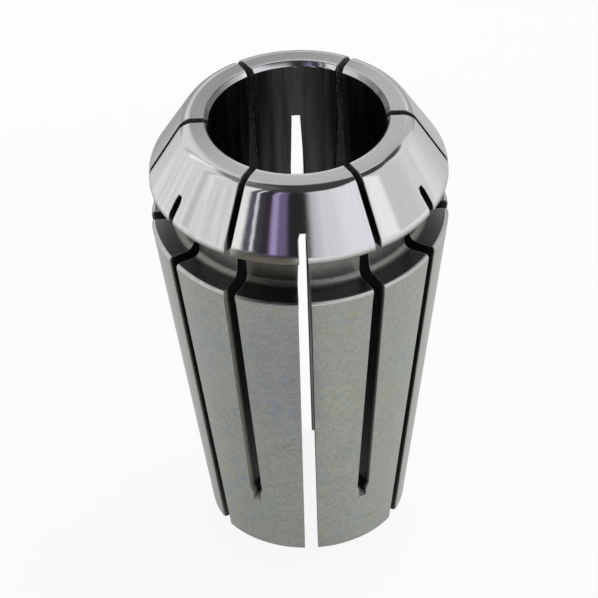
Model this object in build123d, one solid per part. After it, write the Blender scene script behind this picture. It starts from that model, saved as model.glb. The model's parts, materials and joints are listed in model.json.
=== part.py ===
from build123d import *
import math
import os

# A spring collet for a tool holder: one turned, slotted and ground piece of spring steel.
# The holder's nut pushes on the nose cone, the long taper seats in the spindle, and twelve
# slots, cut from both ends in turn, let the whole bore close evenly on the tool shank.
# It stands on its rear end with the nose up. The origin is the middle of the rear face,
# and the first front slots lie 30 degrees either side of -Y.

# Driving sizes, in millimetres and degrees

# Body
overall_length = 27.5
bore_diameter = 10.0
shoulder_diameter = 17.0
taper_half_angle = 8.0
shoulder_edge_chamfer = 0.15
rear_edge_chamfer = 0.12
rear_bore_chamfer = 0.12

# Nose
nose_height = 4.0
rim_diameter = 17.0
rim_land = 0.45
nose_half_angle = 30.0
rim_top_radius = 0.8
rim_foot_chamfer = 0.1
face_edge_radius = 0.45
mouth_chamfer = 0.24

# Groove that the nut's lip hooks into, to draw the collet out
groove_width = 2.7
groove_diameter = 13.8
groove_root_radius = 0.45

# Slots, the same number from each end
slots_per_end = 6
body_slot_width = 0.75
front_slot_nose_width = 0.38
rear_slot_nose_width = 0.48
slot_flare_below_shoulder = 0.8
front_slot_stop = 3.7
rear_slot_stop = 2.3
front_saw_radius = 6.5
rear_saw_radius = 12.0
saw_corner_length = 0.6
saw_corner_slant = 0.3
saw_tip_share = 0.62

# How far a cutter reaches past the metal
cut_margin = 1.0

# Sizes that follow from them
bore_radius = bore_diameter / 2
shoulder_radius = shoulder_diameter / 2
rim_radius = rim_diameter / 2
groove_radius = groove_diameter / 2
rim_foot_height = overall_length - nose_height
shoulder_height = rim_foot_height - groove_width
cone_foot_height = rim_foot_height + rim_land
cone_slope = math.tan(math.radians(nose_half_angle))
taper_slope = math.tan(math.radians(taper_half_angle))
face_radius = rim_radius - (overall_length - cone_foot_height) * cone_slope
rear_radius = shoulder_radius - shoulder_height * taper_slope
cutter_reach = max(rim_radius, shoulder_radius, front_saw_radius, rear_saw_radius) + cut_margin
slot_pitch = 360 / slots_per_end
jaw_middle = slot_pitch / 4


def taper_radius(height):
    return rear_radius + height * taper_slope


def turned_blank():
    # Each corner of the half section: distance from the axis, height, blend radius.
    # The blank is turned so that the seam of its faces runs down the middle of a jaw.
    shoulder_edge_height = shoulder_height - shoulder_edge_chamfer
    corners = [
        (bore_radius + rear_bore_chamfer, 0, 0),
        (rear_radius - rear_edge_chamfer, 0, 0),
        (taper_radius(rear_edge_chamfer), rear_edge_chamfer, 0),
        (taper_radius(shoulder_edge_height), shoulder_edge_height, 0),
        (shoulder_radius - shoulder_edge_chamfer, shoulder_height, 0),
        (groove_radius, shoulder_height, groove_root_radius),
        (groove_radius, rim_foot_height, groove_root_radius),
        (rim_radius - rim_foot_chamfer, rim_foot_height, 0),
        (rim_radius, rim_foot_height + rim_foot_chamfer, 0),
        (rim_radius, cone_foot_height, rim_top_radius),
        (face_radius, overall_length, face_edge_radius),
        (bore_radius + mouth_chamfer, overall_length, 0),
        (bore_radius, overall_length - mouth_chamfer, 0),
        (bore_radius, rear_bore_chamfer, 0),
    ]
    points = [(radius, height) for radius, height, blend in corners]
    blends = [blend for radius, height, blend in corners]
    outline = FilletPolyline(*points, radius=blends, close=True)
    half_section = Plane.XZ * make_face(outline)
    return Rot(0, 0, jaw_middle) * revolve(half_section, axis=Axis.Z)


def slot_side(open_height, stop_height, stop_radius, saw_radius):
    # The slot seen from the side. A saw that reaches in to the axis leaves a curved floor,
    # which meets the outside of the piece at stop_radius and stop_height.
    inward = max(0, saw_radius - stop_radius)
    run_out = math.sqrt(saw_radius**2 - inward**2)
    towards_stop = math.copysign(1, stop_height - open_height)
    arbor_height = stop_height - towards_stop * run_out
    tip_height = arbor_height + towards_stop * saw_radius
    arc_share = math.sqrt(0.5) * saw_radius
    floor = ThreePointArc(
        (0, arbor_height),
        (saw_radius - arc_share, arbor_height + towards_stop * arc_share),
        (saw_radius, tip_height),
    )
    walls = Polyline(
        (saw_radius, tip_height),
        (cutter_reach, tip_height),
        (cutter_reach, open_height),
        (0, open_height),
        (0, arbor_height),
    )
    return Plane.XZ * make_face(floor + walls)


def slot_front(half_widths):
    # The slot seen along its own radius, from a list of half widths and heights down one side
    right = [(half_width, height) for half_width, height in half_widths]
    left = [(-half_width, height) for half_width, height in reversed(half_widths)]
    return Plane.YZ * make_face(Polyline(*right, *left, close=True))


def slot_cutter(side, front):
    # What both views of the slot have in common, standing along +X
    long_cut = extrude(front, amount=cutter_reach)
    wide_cut = extrude(side, amount=body_slot_width, both=True)
    return long_cut & wide_cut


def front_slot():
    # Open at the nose. The sprung nose has closed a little, so the slot is narrow there,
    # and the saw's worn corners leave a short narrower tip at the end.
    half_body = body_slot_width / 2
    half_nose = front_slot_nose_width / 2
    half_tip = half_body * saw_tip_share
    above = overall_length + cut_margin
    stop_radius = taper_radius(front_slot_stop)
    half_widths = [
        (half_nose, above),
        (half_nose, rim_foot_height),
        (half_body, shoulder_height - slot_flare_below_shoulder),
        (half_body, front_slot_stop + saw_corner_length + saw_corner_slant),
        (half_tip, front_slot_stop + saw_corner_length),
        (half_tip, front_slot_stop - cut_margin),
    ]
    side = slot_side(above, front_slot_stop, stop_radius, front_saw_radius)
    return slot_cutter(side, slot_front(half_widths))


def rear_slot():
    # Open at the rear, and run out on the nose cone
    half_body = body_slot_width / 2
    half_nose = rear_slot_nose_width / 2
    half_tip = half_nose * saw_tip_share
    below = -cut_margin
    stop_height = overall_length - rear_slot_stop
    stop_radius = face_radius + rear_slot_stop * cone_slope
    half_widths = [
        (half_body, below),
        (half_body, shoulder_height - slot_flare_below_shoulder),
        (half_nose, rim_foot_height),
        (half_nose, stop_height - saw_corner_slant),
        (half_tip, stop_height),
        (half_tip, stop_height + cut_margin),
    ]
    side = slot_side(below, stop_height, stop_radius, rear_saw_radius)
    return slot_cutter(side, slot_front(half_widths))


def around(cutter, first_angle):
    turns = [first_angle + slot_pitch * index for index in range(slots_per_end)]
    return [Rot(0, 0, turn) * cutter for turn in turns]


def collet():
    # A rear slot points to -Y, and the front slots stand half a pitch either side of it
    body = turned_blank()
    body -= around(rear_slot(), -90)
    body -= around(front_slot(), -90 + slot_pitch / 2)
    return body.solid()


os.makedirs("parts", exist_ok=True)

piece = collet()
export_step(piece, "parts/collet.step")
print("collet: volume", round(piece.volume, 1), "cubic mm, rear radius", round(rear_radius, 3))
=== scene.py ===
# %% [markdown]
# # A spring collet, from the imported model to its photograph
#
# A spring collet is one piece of hardened steel. It is turned, slotted from both ends with a
# thin saw, and ground, so that its twelve jaws can close on the shank of a tool. The packed
# model already has its exact form. What a viewer sees is how each tool left the metal: a
# polished cone, a satin taper, a fine face, and rough walls in the slots.
#
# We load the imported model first. It is the frame that every piece keeps to.

# %% Load the frame
import json
import math

import bmesh
import bpy
import numpy as np
from mathutils import Matrix, Vector


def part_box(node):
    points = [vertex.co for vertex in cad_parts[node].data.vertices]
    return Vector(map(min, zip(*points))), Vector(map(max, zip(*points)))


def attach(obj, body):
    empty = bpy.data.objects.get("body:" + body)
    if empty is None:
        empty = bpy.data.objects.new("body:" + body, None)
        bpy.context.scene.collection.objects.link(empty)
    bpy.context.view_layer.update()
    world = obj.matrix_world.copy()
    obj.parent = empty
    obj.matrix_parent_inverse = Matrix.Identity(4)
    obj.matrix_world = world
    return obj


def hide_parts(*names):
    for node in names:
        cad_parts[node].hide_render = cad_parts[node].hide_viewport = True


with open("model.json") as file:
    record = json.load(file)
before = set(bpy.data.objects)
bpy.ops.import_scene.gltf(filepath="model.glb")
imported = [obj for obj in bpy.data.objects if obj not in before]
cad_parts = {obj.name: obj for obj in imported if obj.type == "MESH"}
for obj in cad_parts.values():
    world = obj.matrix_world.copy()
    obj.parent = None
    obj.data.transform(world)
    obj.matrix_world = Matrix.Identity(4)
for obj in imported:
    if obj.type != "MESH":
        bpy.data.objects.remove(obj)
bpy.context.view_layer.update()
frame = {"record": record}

node_low, node_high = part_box("collet")
mounts = {mount["name"]: mount for mount in frame["record"]["mounts"]}

# %% [markdown]
# ## Sizes
#
# A machinist thinks in millimetres, so the mesh is made in millimetres and scaled to metres at
# the end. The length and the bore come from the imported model. The rest are the sizes of the
# turning drawing.

# %% Sizes of the collet
MM = 0.001
length = (node_high[2] - node_low[2]) / MM
bore_radius = mounts["tool_bore"]["dims"]["r_mm"]
head_radius = 8.5
groove_radius = 6.9
nose_height = 4.0
groove_width = 2.7
rim_land = 0.45
nose_angle = 30
taper_angle = 8
mouth_chamfer = 0.24
shoulder_chamfer = 0.15
rear_chamfer = 0.12
rim_foot_chamfer = 0.1

rim_foot = length - nose_height
shoulder = rim_foot - groove_width
cone_foot = rim_foot + rim_land
cone_slope = math.tan(math.radians(nose_angle))
taper_slope = math.tan(math.radians(taper_angle))
face_radius = head_radius - (length - cone_foot) * cone_slope
rear_radius = head_radius - shoulder * taper_slope
print("length", round(length, 3), "face radius", round(face_radius, 3))
print("shoulder at", round(shoulder, 3), "rear radius", round(rear_radius, 3))

# %% [markdown]
# ## Finishes, named first
#
# Each tool leaves its own surface, so the collet has one material for each. They are made here
# as empty names, because the mesh has to say which face was cut by which tool. Their nodes
# come later.

# %% Name the finishes
FINISHES = (
    "polished_cone",
    "turned_face",
    "mouth_lip",
    "groove",
    "shoulder",
    "shoulder_edge",
    "ground_taper",
    "rear_end",
    "bore_wall",
    "saw_wall",
    "saw_floor",
    "slot_edge",
)
materials = {name: bpy.data.materials.new(name) for name in FINISHES}
index_of = {name: index for index, name in enumerate(FINISHES)}
SAWN = {index_of["saw_wall"], index_of["saw_floor"]}
print("finishes:", len(FINISHES))


def mesh_object(name, bm):
    mesh = bpy.data.meshes.new(name)
    bm.to_mesh(mesh)
    bm.free()
    for finish in FINISHES:
        mesh.materials.append(materials[finish])
    piece = bpy.data.objects.new(name, mesh)
    bpy.context.scene.collection.objects.link(piece)
    return piece


# %% [markdown]
# ## The turned blank
#
# On the lathe the collet is a half section turned about its axis. We draw that section with
# straight lines, round the corners that a tool's nose rounds, and spin it. A bevel on a single
# vertex of a flat face gives such a rounded corner. Its offset runs along the edges, so a radius
# is multiplied by the tangent of half the turn.

# %% Draw the half section
def section_corners():
    # Radius, height, blend radius and the number of segments in the blend
    fine = 0.05
    taper_blend = 0.3
    shoulder_blend = 0.22
    groove_blend = 0.45
    rim_blend = 0.8
    face_blend = 0.9
    mouth_blend = 0.12
    taper_top = shoulder - shoulder_chamfer
    return (
        (bore_radius + rear_chamfer, 0, fine, 2),
        (rear_radius - rear_chamfer, 0, fine, 2),
        (rear_radius + rear_chamfer * taper_slope, rear_chamfer, fine, 2),
        (rear_radius + taper_top * taper_slope, taper_top, taper_blend, 4),
        (head_radius - shoulder_chamfer, shoulder, shoulder_blend, 4),
        (groove_radius, shoulder, groove_blend, 7),
        (groove_radius, rim_foot, groove_blend, 7),
        (head_radius - rim_foot_chamfer, rim_foot, fine, 2),
        (head_radius, rim_foot + rim_foot_chamfer, fine, 2),
        (head_radius, cone_foot, rim_blend, 8),
        (face_radius, length, face_blend, 14),
        (bore_radius + mouth_chamfer, length, mouth_blend, 3),
        (bore_radius, length - mouth_chamfer, mouth_blend, 3),
        (bore_radius, rear_chamfer, fine, 2),
    )


def round_corner(bm, vertex, radius, segments):
    ways = [edge.other_vert(vertex).co - vertex.co for edge in vertex.link_edges]
    turn = math.pi - ways[0].angle(ways[1])
    bmesh.ops.bevel(
        bm, geom=[vertex], offset=radius * math.tan(turn / 2), offset_type="OFFSET",
        affect="VERTICES", segments=segments, profile=0.5, material=-1, clamp_overlap=False,
    )


def half_section():
    bm = bmesh.new()
    corners = section_corners()
    vertices = [bm.verts.new((radius, 0, height)) for radius, height, *_ in corners]
    bm.faces.new(vertices)
    for vertex, (*_, blend, segments) in zip(vertices, corners):
        round_corner(bm, vertex, blend, segments)
    bmesh.ops.delete(bm, geom=bm.faces[:], context="FACES_ONLY")
    print("half section:", len(bm.verts), "points")
    return bm


# %% [markdown]
# The spin isn't even. Twelve slots stand 30 degrees apart, and a slot is up to 9 degrees wide at
# the bore. A mesh line on each slot's middle and the next lines 5 degrees away leave the slot's
# edges clear of other lines. Between the slots the steps are 2.5 degrees.

# %% Spin the section into a blank
SLOTS = 12
SECTOR = 360 / SLOTS
SLOT_CLEAR = 5
JAW_STEPS = 8


def finish_of(radius, height, tilt):
    # The tilt is how far the face looks up, from -1 to 1
    touch = 0.02
    lip = 0.4
    rim_edge = 0.3
    edge_below_shoulder = shoulder_chamfer + 0.1
    flat = 0.99
    if radius < bore_radius + touch and rear_chamfer - touch < height < length - lip:
        return "bore_wall"
    if height > length - touch and tilt > flat:
        return "turned_face"
    if height > length - lip - touch and radius < bore_radius + lip:
        return "mouth_lip"
    if height > cone_foot + rim_edge:
        return "polished_cone"
    if height > rim_foot - touch and radius > head_radius - rim_edge:
        return "polished_cone"
    if height > shoulder + touch:
        return "groove"
    if height > shoulder - touch and tilt > flat:
        return "shoulder"
    if height > shoulder - edge_below_shoulder:
        return "shoulder_edge"
    if height < rear_chamfer:
        return "rear_end"
    return "ground_taper"


def turned_blank():
    bm = half_section()
    ring = bm.verts[:] + bm.edges[:]
    parts = ((SLOT_CLEAR, 1), (SECTOR - 2 * SLOT_CLEAR, JAW_STEPS), (SLOT_CLEAR, 1))
    for angle, steps in parts * SLOTS:
        spun = bmesh.ops.spin(
            bm, geom=ring, cent=(0, 0, 0), axis=(0, 0, 1), dvec=(0, 0, 0),
            angle=math.radians(angle), steps=steps, use_merge=False, use_duplicate=False,
        )
        ring = spun["geom_last"]
    bmesh.ops.remove_doubles(bm, verts=bm.verts[:], dist=1e-4)
    bmesh.ops.recalc_face_normals(bm, faces=bm.faces[:])
    for face in bm.faces:
        middle = face.calc_center_median()
        face.material_index = index_of[finish_of(middle.xy.length, middle.z, face.normal.z)]
    print("blank:", len(bm.faces), "faces, volume", round(bm.calc_volume(signed=True), 1))
    return mesh_object("spring_collet", bm)


# %% [markdown]
# ## The saw cuts
#
# Six slots come in from the nose and six from the rear, each with a thin saw. Seen from the
# side a cut has a straight mouth and the saw's own curve as its floor. Seen from the front it is
# a narrow strip whose width changes a little. We draw the side view, give it the right height
# lines, extrude it, and then set each point's distance from the middle by its height.

# %% Sizes of the saw cuts
body_half = 0.375
front_nose_half = 0.19
rear_nose_half = 0.24
flare = shoulder - 0.8
front_stop = 3.7
rear_stop = length - 2.3
front_saw = 6.5
rear_saw = 12.0
corner_length = 0.6
corner_slant = 0.3
tip_share = 0.62
margin = 1.0
saw_inner = 3.0
saw_outer = 14.0
floor_steps = 36
FRONT_WIDTHS = (
    # height, half width there
    (front_stop - margin, body_half * tip_share),
    (front_stop + corner_length, body_half * tip_share),
    (front_stop + corner_length + corner_slant, body_half),
    (flare, body_half),
    (rim_foot, front_nose_half),
    (length + margin, front_nose_half),
)
REAR_WIDTHS = (
    # height, half width there
    (-margin, body_half),
    (flare, body_half),
    (rim_foot, rear_nose_half),
    (rear_stop - corner_slant, rear_nose_half),
    (rear_stop, rear_nose_half * tip_share),
    (rear_stop + margin, rear_nose_half * tip_share),
)
print("slots from the nose end at", front_stop, "and from the rear at", round(rear_stop, 3))


# %% Make the saw cuts
def saw_cuts(open_height, stop_height, stop_radius, saw_radius, widths, first_angle):
    way = math.copysign(1, stop_height - open_height)
    inward = max(0, saw_radius - stop_radius)
    arbor = stop_height - way * math.sqrt(saw_radius**2 - inward**2)
    tip = arbor + way * saw_radius
    bm = bmesh.new()
    start = bm.verts.new((0, 0, arbor))
    bmesh.ops.spin(
        bm, geom=[start], cent=(saw_radius, 0, arbor), axis=(0, 1, 0), dvec=(0, 0, 0),
        angle=way * math.pi / 2, steps=floor_steps, use_merge=False, use_duplicate=False,
    )
    floor = sorted(bm.verts, key=lambda vertex: vertex.co.x)
    outer = [bm.verts.new((saw_outer, 0, height)) for height in (tip, open_height)]
    inner = bm.verts.new((0, 0, open_height))
    bm.faces.new(floor + outer + [inner])
    cuts = [((saw_inner, 0, 0), (1, 0, 0), True)]
    cuts += [((0, 0, height), (0, 0, 1), False) for height, _ in widths]
    for point, normal, clear in cuts:
        geom = bm.verts[:] + bm.edges[:] + bm.faces[:]
        bmesh.ops.bisect_plane(bm, geom=geom, plane_co=point, plane_no=normal, clear_inner=clear)
    pushed = bmesh.ops.extrude_face_region(bm, geom=bm.faces[:], use_keep_orig=True)
    far_side = {item for item in pushed["geom"] if isinstance(item, bmesh.types.BMVert)}
    heights, halves = zip(*widths)
    for vertex in bm.verts:
        half = float(np.interp(vertex.co.z, heights, halves))
        vertex.co.y = half if vertex in far_side else -half
    bmesh.ops.recalc_face_normals(bm, faces=bm.faces[:])
    for face in bm.faces:
        across = abs(face.normal.y) > 0.5
        face.material_index = index_of["saw_wall" if across else "saw_floor"]
    turn = Matrix.Rotation(math.radians(first_angle), 3, "Z")
    bmesh.ops.rotate(bm, verts=bm.verts[:], cent=(0, 0, 0), matrix=turn)
    whole = bm.verts[:] + bm.edges[:] + bm.faces[:]
    copies = SLOTS // 2 - 1
    bmesh.ops.spin(
        bm, geom=whole, cent=(0, 0, 0), axis=(0, 0, 1), dvec=(0, 0, 0),
        angle=math.radians(2 * SECTOR * copies), steps=copies, use_merge=False, use_duplicate=True,
    )
    print("saw cuts:", len(bm.faces), "faces, volume", round(bm.calc_volume(signed=True), 1))
    return mesh_object("saw_cuts", bm)


def cut_away(piece, cutter):
    cut = piece.modifiers.new("cut", "BOOLEAN")
    cut.operation = "DIFFERENCE"
    cut.solver = "EXACT"
    cut.object = cutter
    bpy.context.view_layer.update()
    shown = piece.evaluated_get(bpy.context.evaluated_depsgraph_get())
    result = bpy.data.meshes.new_from_object(shown)
    piece.modifiers.clear()
    piece.data = result
    bpy.data.objects.remove(cutter)


collet = turned_blank()
taper_at_stop = rear_radius + front_stop * taper_slope
cone_at_stop = face_radius + (length - rear_stop) * cone_slope
cut_away(collet, saw_cuts(length + margin, front_stop, taper_at_stop, front_saw, FRONT_WIDTHS, -60))
cut_away(collet, saw_cuts(-margin, rear_stop, cone_at_stop, rear_saw, REAR_WIDTHS, -90))
print("after the saw:", len(collet.data.polygons), "faces")

# %% [markdown]
# ## Broken edges
#
# A sawn edge is as sharp as a knife until it is deburred. The small bevel along every slot is
# what catches the light beside the dark gap, so it is real geometry. The new faces get their own
# finish.

# %% Break the slot edges
EDGE_BREAK = 0.05


def break_edges(piece):
    bm = bmesh.new()
    bm.from_mesh(piece.data)
    edges = []
    for edge in bm.edges:
        kinds = {face.material_index in SAWN for face in edge.link_faces}
        if kinds == {True, False}:
            edges.append(edge)
    new = bmesh.ops.bevel(
        bm, geom=edges, offset=EDGE_BREAK, offset_type="OFFSET", affect="EDGES",
        segments=3, profile=0.5, material=-1, clamp_overlap=False,
    )
    for face in new["faces"]:
        face.material_index = index_of["slot_edge"]
    loose = [edge for edge in bm.edges if len(edge.link_faces) != 2]
    print("slot edges:", len(edges), "new faces:", len(new["faces"]), "open edges:", len(loose))
    print("volume after the bevel:", round(bm.calc_volume(signed=True), 1))
    bm.to_mesh(piece.data)
    bm.free()


break_edges(collet)

# %% [markdown]
# ## Normals from the lathe
#
# A polished cone shows every fault of its normals as a kink in a reflection. The mesh can't
# give good ones next to a slot, where a flat facet ends off its middle. But we know what a
# lathe makes: the normal of a turned face depends on the section alone, and turns with the
# angle. So each corner of a turned face takes its section normal, averaged by area over the
# faces that meet there smoothly, and turned to its own angle. A saw wall stays flat, and a
# broken edge leads from one to the other.

# %% Set the normals
SMOOTH_LIMIT = math.cos(math.radians(25))


def section_normal(face):
    around = face.calc_center_median().xy.normalized()
    return Vector((face.normal.xy.dot(around), face.normal.z)).normalized()


def turned_normal(vertex, normal, neighbours):
    total = Vector((0, 0))
    for other, area in neighbours:
        if other.dot(normal) > SMOOTH_LIMIT:
            total += other * area
    total.normalize()
    around = vertex.co.xy.normalized()
    return Vector((around.x * total.x, around.y * total.x, total.y))


def set_normals(piece):
    bm = bmesh.new()
    bm.from_mesh(piece.data)
    edge = index_of["slot_edge"]
    section = {}
    for face in bm.faces:
        if face.material_index not in SAWN and face.material_index != edge:
            section[face] = section_normal(face)
    normals = []
    for face in bm.faces:
        for loop in face.loops:
            vertex = loop.vert
            turned = [other for other in vertex.link_faces if other in section]
            walls = [other for other in vertex.link_faces if other.material_index in SAWN]
            near = [(section[other], other.calc_area()) for other in turned]
            if face in section:
                normals.append(turned_normal(vertex, section[face], near))
            elif face.material_index in SAWN:
                normals.append(face.normal.copy())
            elif walls and not turned:
                normals.append(walls[0].normal.copy())
            elif turned and not walls:
                biggest = max(near, key=lambda item: item[1])[0]
                normals.append(turned_normal(vertex, biggest, near))
            else:
                normals.append(vertex.normal.copy())
    bm.free()
    piece.data.shade_smooth()
    piece.data.normals_split_custom_set(normals)
    print("normals set on", len(normals), "corners")


set_normals(collet)
collet.data.transform(Matrix.Scale(MM, 4))
collet.data.update()
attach(collet, "root")
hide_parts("collet")

# %% [markdown]
# ## Shader maths as arithmetic
#
# A node tree is arithmetic drawn as boxes. A term holds one output socket and adds a Math node
# for each sign, so that a mask reads like a formula. Colours can't go through Math nodes, so the
# tree mixes and tints them, and makes every other node from its type, settings and inputs.

# %% Write node maths as expressions
class Term:
    def __init__(self, tree, socket):
        self.tree = tree
        self.socket = socket

    def math(self, operation, *others):
        node = self.tree.nodes.new("ShaderNodeMath")
        node.operation = operation
        for slot, value in zip(node.inputs, (self, *others)):
            feed(self.tree, slot, value)
        return Term(self.tree, node.outputs[0])

    def turned_about(self, operation, other):
        node = self.tree.nodes.new("ShaderNodeMath")
        node.operation = operation
        feed(self.tree, node.inputs[0], other)
        feed(self.tree, node.inputs[1], self)
        return Term(self.tree, node.outputs[0])

    def __add__(self, other):
        return self.math("ADD", other)

    def __radd__(self, other):
        return self.turned_about("ADD", other)

    def __sub__(self, other):
        return self.math("SUBTRACT", other)

    def __rsub__(self, other):
        return self.turned_about("SUBTRACT", other)

    def __mul__(self, other):
        return self.math("MULTIPLY", other)

    def __rmul__(self, other):
        return self.turned_about("MULTIPLY", other)

    def __truediv__(self, other):
        return self.math("DIVIDE", other)

    def above(self, low, high):
        # 0 below low, 1 above high, and smooth between
        node = self.tree.nodes.new("ShaderNodeMapRange")
        node.interpolation_type = "SMOOTHSTEP"
        feed(self.tree, node.inputs["Value"], self)
        node.inputs["From Min"].default_value = low
        node.inputs["From Max"].default_value = high
        return Term(self.tree, node.outputs["Result"])


def feed(tree, slot, value):
    if isinstance(value, Term):
        tree.links.new(value.socket, slot)
    else:
        slot.default_value = value


# %% Make the other nodes of a tree
class Tree:
    def __init__(self, owner):
        owner.use_nodes = True
        self.tree = owner.node_tree
        self.tree.nodes.clear()

    def node(self, kind, settings=None, inputs=None, output=0):
        node = self.tree.nodes.new(kind)
        for name, value in (settings or {}).items():
            setattr(node, name, value)
        for name, value in (inputs or {}).items():
            feed(self.tree, node.inputs[name], value)
        return Term(self.tree, node.outputs[output])

    def mix(self, factor, first, second, blend="MIX"):
        # Sockets 6 and 7 are the colour inputs of a Mix node, and output 2 its colour result
        settings = {"data_type": "RGBA", "blend_type": blend}
        return self.node("ShaderNodeMix", settings, {0: factor, 6: first, 7: second}, 2)

    def tint(self, strength, colour, tint):
        # Multiplies a colour by a tint, so that the grain below still shows
        return self.mix(strength, colour, (*tint, 1), "MULTIPLY")

    def split(self, vector):
        node = self.tree.nodes.new("ShaderNodeSeparateXYZ")
        feed(self.tree, node.inputs[0], vector)
        return [Term(self.tree, socket) for socket in node.outputs]

    def join(self, x, y, z):
        return self.node("ShaderNodeCombineXYZ", None, {0: x, 1: y, 2: z})

    def show(self, shader, output="ShaderNodeOutputMaterial"):
        node = self.tree.nodes.new(output)
        feed(self.tree, node.inputs["Surface"], shader)


# %% [markdown]
# ## Where a point is on a turned piece
#
# Lathe and grinder marks run round the axis, so a finish wants three numbers: the distance from
# the axis and the height, in millimetres, and the angle in radians, which is 0 at the front and
# grows to the right. Noise is stretched by scaling these numbers: marks that are long round the
# axis and fine along it read the height far more strongly than the angle.

# %% Coordinates for turned steel
DEGREES = 180 / math.pi


def turned_coordinates(tree):
    place = tree.node("ShaderNodeTexCoord", None, None, "Object")
    x, y, z = tree.split(place)
    in_mm = 1 / MM
    x, y, z = x * in_mm, y * in_mm, z * in_mm
    radius = (x * x + y * y).math("SQRT")
    angle = x.math("ARCTAN2", 0.0 - y)
    return x, y, z, radius, angle


# %% [markdown]
# A finish starts from one base colour, made a little darker and lighter by noise. Noise mostly
# stays near its middle value, so a pattern spreads it out before it is used. Masks with soft edges
# then say where painted shade lies: on the front left of the rim, the groove and the shoulder edge,
# and on both sides of the bore and of its mouth.

# %% Noise, tones and masks
front_shade_from = -29
front_shade_to = -1
front_shade_soft = 5
side_shade_starts = 0.55
side_shade_full = 0.90
darkened_share = 0.1


def noise(tree, x, y, z, scale=1.0, detail=2.0):
    inputs = {"Vector": tree.join(x, y, z), "Scale": scale, "Detail": detail}
    return tree.node("ShaderNodeTexNoise", {"noise_dimensions": "3D"}, inputs, 0)


def pattern(tree, x, y, z, scale=1.0, detail=3.0):
    low, high = 0.3, 0.7
    return noise(tree, x, y, z, scale, detail).above(low, high)


def shade(base, factor):
    return (*[value * factor for value in base], 1)


def varied(tree, amount, base, darkest, lightest):
    return tree.mix(amount, shade(base, darkest), shade(base, lightest))


def between(value, low, high, soft):
    # 1 from low to high and 0 outside, with soft edges
    return value.above(low - soft, low + soft) * (1.0 - value.above(high - soft, high + soft))


def painted_front_shade(angle):
    # Painted shade: the front left of the rim, the groove and the shoulder edge is made darker
    return between(angle * DEGREES, front_shade_from, front_shade_to, front_shade_soft)


def painted_side_shade(x, radius):
    # Painted shade: both sides of the bore and of its mouth are made darker
    return (x.math("ABSOLUTE") / radius).above(side_shade_starts, side_shade_full)


def steel(tree, colour, roughness, relief, strength, depth, metallic=1.0):
    # The relief is the bump's pattern, and the depth how far it stands out, in millimetres
    bump = {"Height": relief, "Strength": strength, "Distance": depth * MM}
    look = {
        "Base Color": colour,
        "Roughness": roughness,
        "Metallic": metallic,
        "Normal": tree.node("ShaderNodeBump", None, bump),
    }
    tree.show(tree.node("ShaderNodeBsdfPrincipled", None, look))


print("grime covers", front_shade_to - front_shade_from, "degrees at the front left")

# %% [markdown]
# ## The polished cone
#
# The nut slides on this cone, so it is ground fine and then polished. It mirrors the studio in
# stripes that run down the cone. Faint strokes down it come from the polishing, and a slight
# waviness makes thin reflections wander. At the foot the polish dies out in the duller ground
# rim, and at the top in the turned face, so colour and roughness change softly with the height.
# Each pair below is a place where such a change begins and where it is complete.

# %% Where the polish starts and ends
face_steel = (0.46, 0.46, 0.45)
face_roughness = 0.34
strokes_per_radian = 22
strokes_per_mm = 0.15
strokes_end = (length - 0.7, length - 0.4)
right_side = (-0.6, 0.1)
polish_starts = (rim_foot + 0.02, rim_foot + 0.5)
above_foot = (0.06, 0.28)
crown_turns = (length - 0.09, length)
bore_ends = (bore_radius + 0.1, bore_radius + 0.3)


def polishing_strokes(tree, z, angle):
    # Long strokes down the cone, faint on its right side, that stop at the rounded crown
    strokes = pattern(tree, angle * strokes_per_radian, z * strokes_per_mm, 0.0)
    fainter = (1.0 - angle.above(*right_side) * 0.8) * (1.0 - z.above(*strokes_end))
    return 0.5 + (strokes - 0.5) * fainter


def rim_polish(z, angle, haze):
    # 0 at the foot of the rim and 1 on the cone, which begins higher at the front left, as painted
    # shade
    uneven_foot = cone_foot + (haze - 0.5) * 0.2
    clear = (z - uneven_foot).above(*above_foot)
    return z.above(*polish_starts) * (1.0 - painted_front_shade(angle) * (1.0 - clear))


print("the crown turns into the face over", round(length - crown_turns[0], 3), "mm")

# %% Polished cone, lips and edges
painted_bore_shade = (0.15, 0.15, 0.15)
front_shade_tint = (0.30, 0.29, 0.28)
side_shade_tint = (0.12, 0.12, 0.12)
wave_scale = 1.6
haze_scale = 0.5
rim_grain_scale = 9.0
lines_across = 0.05
lines_down = 14
line_share = 0.15
polish_depth = 0.0025


def polished(name, base, low, high, dull=None, dull_roughness=0.3, front_shaded=0.0, darkening=0.0):
    # The roughness wanders from low to high, and dull is the colour of the ground rim
    tree = Tree(materials[name])
    x, y, z, radius, angle = turned_coordinates(tree)
    lines = noise(tree, x * lines_across, y * lines_across, z * lines_down, 1.0, 3.0)
    waves = noise(tree, x, y, z, wave_scale)
    haze = noise(tree, x, y, z, haze_scale)
    roughness = low + (high - low) * haze
    colour = varied(tree, polishing_strokes(tree, z, angle), base, 0.88, 1.08)
    if dull is not None:
        polish = rim_polish(z, angle, haze)
        grain = pattern(tree, x, y, z, rim_grain_scale, 2.0)
        colour = tree.mix(polish, varied(tree, grain, dull, 0.85, 1.15), colour)
        roughness = roughness * polish + dull_roughness * (1.0 - polish)
        crown = z.above(*crown_turns)
        colour = tree.mix(crown, colour, shade(face_steel, 1.0))
        roughness = roughness * (1.0 - crown) + crown * face_roughness
        # Painted shade: the broken edges down in the bore are darkened
        inside = 1.0 - radius.above(*bore_ends)
        colour = tree.tint(inside, colour, painted_bore_shade)
    # Painted shade on the front left
    colour = tree.tint(painted_front_shade(angle) * front_shaded, colour, front_shade_tint)
    # Painted shade on the sides of the mouth
    colour = tree.tint(painted_side_shade(x, radius) * darkening, colour, side_shade_tint)
    steel(tree, colour, roughness, waves + lines * line_share, 1.0, polish_depth)
    print(name, "has", len(tree.tree.nodes), "nodes")


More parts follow.
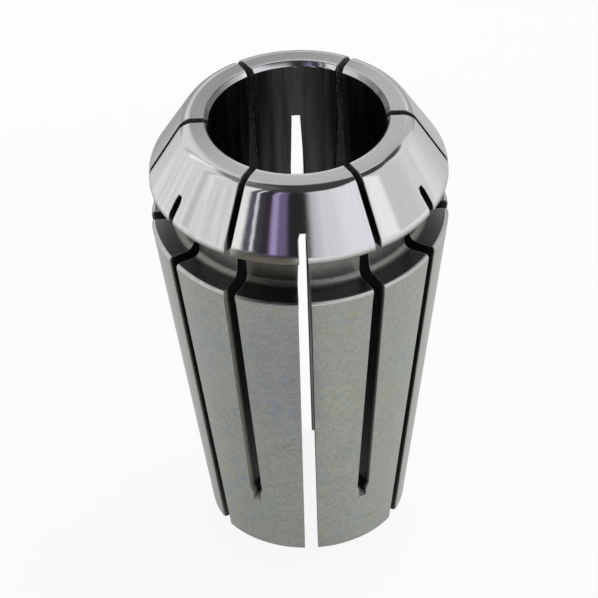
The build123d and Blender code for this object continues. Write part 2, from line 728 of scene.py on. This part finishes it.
polished("polished_cone", (0.75, 0.75, 0.755), 0.06, 0.10, dull=(0.135, 0.128, 0.105))
polished(
    "slot_edge", (0.55, 0.55, 0.545), 0.12, 0.18,
    dull=(0.32, 0.325, 0.30), dull_roughness=0.32,
)
polished("mouth_lip", (0.72, 0.72, 0.73), 0.08, 0.14, darkening=0.85)
polished("shoulder_edge", (0.55, 0.56, 0.54), 0.20, 0.26, front_shaded=0.9)

# %% [markdown]
# ## The turned face
#
# The flat ring round the mouth was faced on the lathe, and its marks are circles round the axis.
# They read the radius, and a fine grain breaks them up. Its colour is made a little darker towards
# the back left. The border beside the mouth gets a burnish from tools going in and out, so it is
# smoother, and it is painted lighter as a painted highlight, except at the sides, where painted
# shade lies.

# %% Turned face
burnish_and_highlight_ends = (bore_radius + 0.28, bore_radius + 0.5)
painted_highlight_tint = (1.20, 1.20, 1.22)
rings_per_mm = 12
rings_per_radian = 1.5
face_depth = 0.003


def darker_at_back_left(tree, x, y, z):
    # How far a point lies towards the back left, in mm, with a ragged edge
    ragged = noise(tree, x, y, z, 0.4) * 3.0
    return (y * 0.8 - x * 0.6 + ragged).above(-1.0, 7.0)


def faced(name, base, roughness, darkening=0.0):
    tree = Tree(materials[name])
    x, y, z, radius, angle = turned_coordinates(tree)
    rings = pattern(tree, radius * rings_per_mm, angle * rings_per_radian, 0.0)
    grain = pattern(tree, x, y, z, 9.0)
    tone = rings * 0.4 + grain * 0.6
    colour = varied(tree, tone, base, 0.90, 1.10)
    colour = tree.mix(darker_at_back_left(tree, x, y, z) * darkening, colour, shade(base, darkened_share))
    burnish_and_highlight = (1.0 - radius.above(*burnish_and_highlight_ends)) * (1.0 - painted_side_shade(x, radius))
    # Painted highlight: the smoother border beside the mouth is made lighter
    colour = tree.tint(burnish_and_highlight, colour, painted_highlight_tint)
    roughness = roughness + (tone - 0.5) * 0.12 - burnish_and_highlight * 0.12
    steel(tree, colour, roughness, tone, 0.5, face_depth)
    print(name, "has", len(tree.tree.nodes), "nodes")


faced("turned_face", face_steel, face_roughness, darkening=0.38)
faced("shoulder", (0.165, 0.167, 0.17), 0.36)
faced("rear_end", (0.30, 0.305, 0.285), 0.40)

# %% [markdown]
# ## The ground taper
#
# The long taper seats in the spindle, and a grinding wheel finished it satin. It has a fine grain,
# a blue and violet heat stain on one jaw, faint coloured films here and there, and pits, rubbed
# patches and nicks on its lower half, where it knocks against other collets. Painted light lies on
# it too: painted shade on the front left jaw, over its blue and violet stain and down to the slot
# at the front, a painted highlight just right of that slot, and its whole right side painted
# lighter. A mark has a place: its angle from the front in degrees, its height, and its half width
# and half height.

# %% Marks on the taper
STAINS_AND_PAINTED_LIGHT = (
    # angle, height, half width, half height in mm, strength, tint
    # The first two are painted shade on the front left jaw and beside the slot at the front, the
    # first over a real blue and violet stain
    (-11, 15.5, 1.9, 5.0, 0.75, (0.86, 0.85, 0.96)),
    (-1, 14.0, 0.9, 6.0, 0.55, (0.86, 0.86, 0.92)),
    (-29, 16.4, 0.9, 0.8, 0.50, (0.90, 0.98, 1.10)),
    (-22, 12.2, 1.1, 0.6, 0.45, (1.05, 0.94, 1.02)),
    (-17, 11.8, 0.7, 0.5, 0.45, (0.90, 1.06, 0.98)),
    # A painted highlight, to the right of the slot at the front
    (12, 13.5, 1.0, 5.5, 0.50, (1.08, 1.08, 1.06)),
    (18, 12.4, 1.2, 1.4, 0.40, (1.02, 1.04, 0.90)),
    (40, 11.6, 0.7, 0.35, 0.70, (1.16, 0.98, 0.86)),
    (47, 13.6, 0.9, 0.9, 0.50, (0.88, 1.02, 1.08)),
    (38, 7.8, 0.5, 0.8, 0.45, (1.10, 0.96, 0.98)),
    (-48, 15.5, 1.2, 2.6, 0.40, (0.94, 0.97, 1.06)),
    (-30, 3.4, 1.6, 1.0, 0.35, (0.96, 1.03, 1.00)),
    (27, 1.6, 1.0, 0.7, 0.35, (0.94, 0.98, 1.06)),
    (128, 13.0, 1.8, 3.6, 0.60, (0.90, 0.92, 1.04)),
    (-140, 9.0, 1.6, 2.0, 0.50, (1.06, 1.02, 0.90)),
)
RUBBED = (
    # angle, height, half width, half height of the patches full of pits
    (19, 7.9, 1.0, 0.9),
    (-10, 8.4, 1.3, 1.1),
    (-40, 9.6, 1.2, 1.6),
    (100, 6.0, 1.4, 1.5),
    (172, 8.0, 1.2, 1.8),
)
NICKS = (
    # angle, height, half width, half height of single dents
    (9.0, 3.7, 0.14, 0.06),
    (35.1, 1.8, 0.12, 0.07),
    (22.1, 4.1, 0.07, 0.05),
    (-8.0, 2.6, 0.06, 0.05),
    (-21.0, 5.2, 0.06, 0.07),
    (-52.0, 8.2, 0.10, 0.05),
    (75.0, 4.0, 0.10, 0.07),
    (150.0, 5.5, 0.14, 0.06),
    (-115.0, 3.0, 0.12, 0.07),
)


def mark(spot, angle, z, edge):
    # 1 in the middle of a mark and 0 outside it, with an edge as soft as asked
    middle, height, half_width, half_height = spot[:4]
    radius = rear_radius + height * taper_slope
    across = (angle - math.radians(middle)) * (radius / half_width)
    along = (z - height) * (1 / half_height)
    reach = (across * across + along * along).math("SQRT")
    return 1.0 - reach.above(1.0 - edge, 1.0 + edge)


# %% [markdown]
# The stains and films of colour are thin, so each is a tint that multiplies the steel's own colour
# a little. Three of the listed tints are painted light: the first two are painted shade, the first
# over a real blue and violet stain, and the one at 12 degrees is a painted highlight. The pits are
# dark dots, and dents in the bump as well, so that they catch the light.

# %% Stains, films and dents
yellow_film = (1.05, 1.00, 0.90)
blue_film = (0.92, 0.97, 1.06)
film_offset = 31.0
rubbed_zone = (5.0, 16.0)
rubbed_share = 0.35


def stains_and_painted_light(tree, colour, z, angle, ragged):
    tinted_spot_edge = 0.6
    for tinted_spot in STAINS_AND_PAINTED_LIGHT:
        strength, tint = tinted_spot[4:]
        area = mark(tinted_spot, angle + ragged * 0.12, z + ragged * 1.6, tinted_spot_edge)
        colour = tree.tint(area * strength, colour, tint)
    return colour


def filmed(tree, colour, x, y, z):
    # Within loose clusters, yellow where the noise is high and blue where it is low. The offset
    # takes this noise from another place, so that it doesn't follow the clusters.
    clustered = noise(tree, x, y, z, 0.33, 3.0).above(0.46, 0.60)
    film = noise(tree, x + film_offset, y, z, 1.5, 3.0)
    colour = tree.tint(film.above(0.55, 0.62) * clustered, colour, yellow_film)
    return tree.tint((1.0 - film.above(0.38, 0.45)) * clustered, colour, blue_film)


def dents(tree, x, y, z, angle, ragged):
    # Pits come where the noise is high, and more of them where the taper is rubbed
    patch_edge = 0.5
    nick_edge = 0.4
    rubbed = (1.0 - z.above(*rubbed_zone)) * rubbed_share
    for patch in RUBBED:
        rubbed = rubbed.math("MAXIMUM", mark(patch, angle + ragged * 0.15, z, patch_edge))
    peaks = (noise(tree, x, y, z, 8.5) + rubbed * 0.10).above(0.62, 0.70)
    dented = peaks * rubbed * 0.6
    for nick in NICKS:
        dented = dented.math("MAXIMUM", mark(nick, angle, z, nick_edge))
    return dented


print("stains:", len(STAINS_AND_PAINTED_LIGHT), "rubbed patches:", len(RUBBED), "nicks:", len(NICKS))

# %% Ground taper and groove
taper_steel = (0.312, 0.325, 0.297)
groove_steel = (0.24, 0.245, 0.225)
dent_tint = (0.45, 0.45, 0.43)
lit_side = (-0.1, 0.5)
lit_tint = (1.13, 1.13, 1.12)
groove_shade_tint = (0.40, 0.385, 0.36)
wheel_lines_per_radian = 5.0
wheel_lines_per_mm = 9.0
ground_depth = 0.003


def ground_grain(tree, x, y, z, angle):
    # Lines of the grinding wheel round the taper, a fine grain, and a coarser mottle
    around = angle * wheel_lines_per_radian
    lines = pattern(tree, around, z * wheel_lines_per_mm, 0.0, 1.0, 4.0)
    grain = pattern(tree, x, y, z, 8.0)
    mottle = pattern(tree, x, y, z, 2.2)
    return lines * 0.20 + grain * 0.55 + mottle * 0.25


def ground_taper(roughness):
    tree = Tree(materials["ground_taper"])
    x, y, z, _, angle = turned_coordinates(tree)
    tone = ground_grain(tree, x, y, z, angle)
    ragged = noise(tree, x, y, z, 1.1, 3.0) - 0.5
    dented = dents(tree, x, y, z, angle, ragged)
    colour = varied(tree, tone, taper_steel, 0.80, 1.20)
    colour = stains_and_painted_light(tree, colour, z, angle, ragged)
    colour = filmed(tree, colour, x, y, z)
    colour = tree.tint(dented * 0.6, colour, dent_tint)
    # Painted light: the right side of the taper is made lighter
    colour = tree.tint(angle.above(*lit_side), colour, lit_tint)
    roughness = roughness + (tone - 0.5) * 0.10
    steel(tree, colour, roughness, tone - dented * 3.0, 0.5, ground_depth)
    print("ground_taper has", len(tree.tree.nodes), "nodes")


def groove(roughness):
    tree = Tree(materials["groove"])
    x, y, z, _, angle = turned_coordinates(tree)
    tone = ground_grain(tree, x, y, z, angle)
    colour = varied(tree, tone, groove_steel, 0.80, 1.20)
    # Painted shade: the front left of the groove is made darker
    colour = tree.tint(painted_front_shade(angle), colour, groove_shade_tint)
    steel(tree, colour, roughness + (tone - 0.5) * 0.10, tone, 0.5, ground_depth)
    print("groove has", len(tree.tree.nodes), "nodes")


ground_taper(0.33)
groove(0.38)

# %% [markdown]
# ## Bore and slots
#
# The bore is satin from the reamer, and dark because little light gets down it, and its two sides
# are painted darker still as painted shade. The saw leaves the slot walls rough and olive, with
# bright specks where it tore the metal. In the depth of the cut the wall's colour is painted down
# to nearly black half a millimetre in, as painted shade, and sooner at the sides and on the right.
# At the back the walls beside the bore are painted lighter again as painted light, and near the
# face they are a little lighter all round. A rough sawn wall doesn't mirror like polished steel, so
# it is only partly metallic in the shader.

# %% Bore wall
streaks_per_radian = 11
streaks_per_mm = 0.10
bore_depth = 0.003


def reamed(name, base, roughness):
    # Streaks run down the bore, from shanks that were pushed in
    tree = Tree(materials[name])
    x, _, z, radius, angle = turned_coordinates(tree)
    around = angle * streaks_per_radian
    streaks = pattern(tree, around, z * streaks_per_mm, 0.0, 1.0, 4.0)
    colour = varied(tree, streaks, base, 0.62, 1.38)
    # Painted shade: the sides of the bore are made darker
    colour = tree.mix(painted_side_shade(x, radius) * 0.8, colour, shade(base, darkened_share))
    steel(tree, colour, roughness + (streaks - 0.5) * 0.1, streaks, 0.3, bore_depth)
    print(name, "has", len(tree.tree.nodes), "nodes")


reamed("bore_wall", (0.235, 0.235, 0.232), 0.33)

# %% Saw cuts
# The first two are in degrees from the front: where it begins and ends, and how softly
both_sides = (45, 110, 6)
right_slots = (12, 110, 6)
back_jaws = (2.2, 2.4)
outer_edge = 0.2
bore_edge = (0.1, 0.9)
face_zone = (length - 1.5, length - 0.1)
marks_per_mm = 5
marks_per_radian = 3
speck_scale = 9.0
saw_depth = 0.006
saw_metallic = 0.3


def painted_slot_light(z, radius, angle, specks, reach, darkening):
    # Painted light and shade on a slot wall: 1 where it is painted as lit, as at the outside of the
    # cut, and 0 where it is painted black
    taper = rear_radius + z * taper_slope
    depth = taper.math("MINIMUM", head_radius) - radius
    degrees = angle * DEGREES
    sideways = between(degrees.math("ABSOLUTE"), *both_sides)
    right_shade = between(degrees, *right_slots) * darkening
    slot_light = 1.0 - (depth * (1.0 + sideways * 2.0 + right_shade)).above(outer_edge, reach)
    slot_light = slot_light * (1.0 - sideways * 0.45) * (1.0 - right_shade * 0.5)
    near_bore = 1.0 - (radius - bore_radius).above(*bore_edge)
    near_bore = near_bore * angle.math("ABSOLUTE").above(*back_jaws)
    slot_light = slot_light.math("MAXIMUM", near_bore * (0.09 + specks * 0.7))
    return slot_light.math("MAXIMUM", z.above(*face_zone) * (0.13 + specks * 0.16))


def sawn(name, base, roughness, deep, reach, darkening=0.0):
    # Beyond the reach, in mm from the outside, the base colour is painted down to the share called
    # deep, as painted shade
    tree = Tree(materials[name])
    x, y, z, radius, angle = turned_coordinates(tree)
    around = angle * marks_per_radian
    marks = pattern(tree, radius * marks_per_mm, z * marks_per_mm, around, 1.0, 4.0)
    specks = noise(tree, x, y, z, speck_scale).above(0.54, 0.62)
    colour = varied(tree, marks, base, 0.8, 1.2)
    colour = tree.mix(specks, colour, shade(base, 1.3))
    slot_light = painted_slot_light(z, radius, angle, specks, reach, darkening)
    # Painted shade in the depth of the cut, and painted light near the bore and the face
    colour = tree.mix(slot_light, shade(base, deep), colour)
    steel(tree, colour, roughness, marks + specks, 0.7, saw_depth, saw_metallic)
    print(name, "has", len(tree.tree.nodes), "nodes")


sawn("saw_wall", (0.46, 0.46, 0.385), 0.55, deep=0.010, reach=0.60, darkening=1.0)
sawn("saw_floor", (0.80, 0.80, 0.77), 0.7, deep=0.3, reach=1.2)

# %% [markdown]
# ## The studio
#
# Polished metal has no look of its own: it shows the room. Here the room is a white tent with
# a dark opening for the camera, so the cone has one dark stripe with thin bright and lilac ones
# beside it. The world gives that tent by direction. The azimuth counts from the camera's side,
# positive to the right, and the walls are a list of edges: each says where the next cloth
# begins. The ceiling is white again. Dark flags hang overhead and down both sides, where the
# rounded edge of the face mirrors them as a dark line. Two grey ones stand low at the back.

# %% Light the tent
TENT_WALLS = (
    # azimuth where it begins, softness in degrees, colour up to the next edge
    (-150, 5, (0.84, 0.84, 0.84)),
    (-122, 3, (0.62, 0.62, 0.62)),
    (-115.5, 3, (1.12, 1.12, 1.12)),
    (-109, 3, (0.84, 0.84, 0.84)),
    (-92, 4, (0.66, 0.66, 0.66)),
    (-86, 3, (0.92, 0.92, 0.92)),
    (-80, 3, (0.80, 0.80, 0.80)),
    (-56, 4, (0.96, 0.96, 0.93)),
    (-44.0, 4, (0.085, 0.07, 0.11)),
    (-38.2, 1.5, (0.90, 0.92, 0.94)),
    (-36, 1.5, (0.05, 0.045, 0.06)),
    (-30, 3, (0.035, 0.03, 0.04)),
    (-24, 3, (0.42, 0.34, 0.58)),
    (-18.7, 2.5, (0.17, 0.14, 0.25)),
    (-11, 4, (0.025, 0.025, 0.025)),
    (6.5, 8, (0.62, 0.61, 0.64)),
    (14, 10, (0.80, 0.79, 0.83)),
    (30, 14, (0.93, 0.915, 0.97)),
    (60, 3, (1.06, 1.06, 1.06)),
    (73, 4, (0.72, 0.72, 0.73)),
    (98, 12, (0.82, 0.82, 0.83)),
    (130, 5, (0.60, 0.60, 0.60)),
    (150, 5, (1.00, 1.00, 1.00)),
)
FLAGS = (
    # azimuth, level, radius, softness in degrees, grey
    (0, 78, 26, 10, 0.05),
    (-72, 64, 14, 12, 0.14),
    (-96, 59, 10, 12, 0.25),
    (38, 64, 13, 8, 0.05),
    (70, 70, 16, 8, 0.06),
    (98, 54, 12, 7, 0.06),
    (118, 43, 9, 7, 0.08),
    (150, 0, 16, 12, 0.45),
    (-150, 0, 16, 12, 0.45),
)


WHITE = (1.0, 1.0, 1.0, 1)
ceiling = (64.0, 76.0)


def way_to(azimuth, level):
    # The direction to something at an azimuth and level in degrees, seen from the collet
    turn = math.radians(azimuth)
    rise = math.radians(level)
    across = math.cos(rise)
    return Vector((math.sin(turn) * across, -math.cos(turn) * across, math.sin(rise)))


def tent():
    world = bpy.data.worlds.new("tent")
    bpy.context.scene.world = world
    tree = Tree(world)
    direction = tree.node("ShaderNodeTexCoord", None, None, "Generated")
    x, y, z = tree.split(direction)
    azimuth = x.math("ARCTAN2", 0.0 - y) * DEGREES
    level = z.math("ARCSINE") * DEGREES
    colour = WHITE
    for start, soft, tint in TENT_WALLS:
        colour = tree.mix(azimuth.above(start - soft / 2, start + soft / 2), colour, (*tint, 1))
    colour = tree.mix(level.above(*ceiling), colour, WHITE)
    for side, height, reach, soft, grey in FLAGS:
        way = way_to(side, height)
        towards = x * way.x + y * way.y + z * way.z
        rim = math.cos(math.radians(reach + soft / 2))
        core = math.cos(math.radians(reach - soft / 2))
        colour = tree.mix(towards.above(rim, core), colour, (grey, grey, grey, 1))
    seen = tree.node("ShaderNodeLightPath", None, None, "Is Camera Ray")
    colour = tree.mix(seen, colour, WHITE)
    light = tree.node("ShaderNodeBackground", None, {"Color": colour, "Strength": 1.0})
    tree.show(light, "ShaderNodeOutputWorld")
    print("tent walls:", len(TENT_WALLS), "flags:", len(FLAGS))


tent()

# %% [markdown]
# The tent alone is even all round, and the photograph is lighter on its right side. One soft
# lamp behind the right shoulder lights the floor there, and lets the collet's faint shadow fall
# to the front left, where the satin taper shows it. The lamp hangs outside the tent, so the
# metal doesn't mirror it.

# %% Hang the soft lamp
lamp_azimuth = 128
lamp_level = 50
lamp_distance = 0.60
lamp_size = 0.50
lamp_power = 1.4


def lamp():
    way = way_to(lamp_azimuth, lamp_level)
    data = bpy.data.lights.new("soft_lamp", "AREA")
    data.size = lamp_size
    data.energy = lamp_power
    piece = bpy.data.objects.new("soft_lamp", data)
    piece.location = way * lamp_distance
    piece.rotation_euler = way.to_track_quat("Z", "Y").to_euler()
    piece.visible_glossy = False
    bpy.context.scene.collection.objects.link(piece)
    print("lamp at", [round(value, 3) for value in piece.location])


lamp()

# %% [markdown]
# ## The floor
#
# The collet stands on a plain white surface. Part of its white is its own colour under the tent,
# and part is a glow that the camera and reflections see, which keeps the gap behind the slots white
# and the shadow soft. Behind the collet the paper is painted darker, less on the right, and
# reflections see it there without the glow: a painted shade like the dim back of a small studio,
# which greys the far sides of the cone.

# %% Make the floor's paper
near_paper = (0.92, 0.92, 0.92, 1)
far_paper = (0.5, 0.5, 0.5, 1)
camera_glow = 0.90
far_glow = 0.07
mirrored_glow = 0.62
through_glow = 0.9


def far_share(x, y, radius):
    # 0 round the collet and in front of it, and 1 on the floor behind, but less on the right
    behind = ((y + x * 0.15) / radius).above(0.30, 0.92)
    away = radius.above(20.0, 45.0)
    right = (x / radius).above(0.0, 0.5)
    return behind * away * (1.0 - right * 0.3)


def white_paper():
    material = bpy.data.materials.new("white_floor")
    tree = Tree(material)
    x, y, _, radius, _ = turned_coordinates(tree)
    far = far_share(x, y, radius)
    camera = tree.node("ShaderNodeLightPath", None, None, "Is Camera Ray")
    glossy = tree.node("ShaderNodeLightPath", None, None, "Is Glossy Ray")
    through = tree.node("ShaderNodeLightPath", None, None, "Is Transmission Ray")
    seen = camera * (camera_glow + far * far_glow)
    seen = seen.math("MAXIMUM", glossy * mirrored_glow * (1.0 - far))
    seen = seen.math("MAXIMUM", through * through_glow)
    # Painted shade: the paper behind the collet is darker
    colour = tree.mix(far, near_paper, far_paper)
    paint = tree.node("ShaderNodeBsdfDiffuse", None, {"Color": colour})
    glow = tree.node("ShaderNodeEmission", None, {"Color": WHITE, "Strength": 1.0})
    tree.show(tree.node("ShaderNodeMixShader", None, {0: seen, 1: paint, 2: glow}))
    print("white_floor has", len(tree.tree.nodes), "nodes")
    return material


# %% Lay the floor
floor_size = 4.0


def lay_floor():
    bm = bmesh.new()
    bmesh.ops.create_grid(bm, x_segments=1, y_segments=1, size=floor_size)
    mesh = bpy.data.meshes.new("floor")
    bm.to_mesh(mesh)
    bm.free()
    mesh.materials.append(white_paper())
    piece = bpy.data.objects.new("floor", mesh)
    bpy.context.scene.collection.objects.link(piece)
    print("the floor reaches", floor_size, "m from the middle")


lay_floor()

# %% [markdown]
# ## The camera
#
# The photograph looks down at 39 degrees from far away, with a slight roll. These numbers come
# from fitting a camera to the slots and rings of the collet.

# %% Place the camera
view_azimuth = -0.76
view_level = 39.12
view_roll = math.radians(1.78)
view_distance = 0.37894
aim_height = 14.257 * MM
aim_side = -0.21 * MM
lens_mm = 396.4
sensor_mm = 36.0
nearest_seen = 0.01


def place_camera():
    back = way_to(view_azimuth, view_level)
    right = way_to(view_azimuth + 90, 0)
    up = back.cross(right)
    across = right * math.cos(view_roll) - up * math.sin(view_roll)
    upward = right * math.sin(view_roll) + up * math.cos(view_roll)
    place = Vector((0, 0, aim_height)) + right * aim_side + back * view_distance
    data = bpy.data.cameras.new("camera")
    data.lens = lens_mm
    data.sensor_width = sensor_mm
    data.clip_start = nearest_seen
    camera = bpy.data.objects.new("camera", data)
    turn = Matrix((across, upward, back)).transposed()
    camera.matrix_world = Matrix.Translation(place) @ turn.to_4x4()
    bpy.context.scene.collection.objects.link(camera)
    bpy.context.scene.camera = camera
    bpy.context.scene.view_settings.view_transform = "Standard"
    print("camera at", [round(value, 4) for value in place])


place_camera()
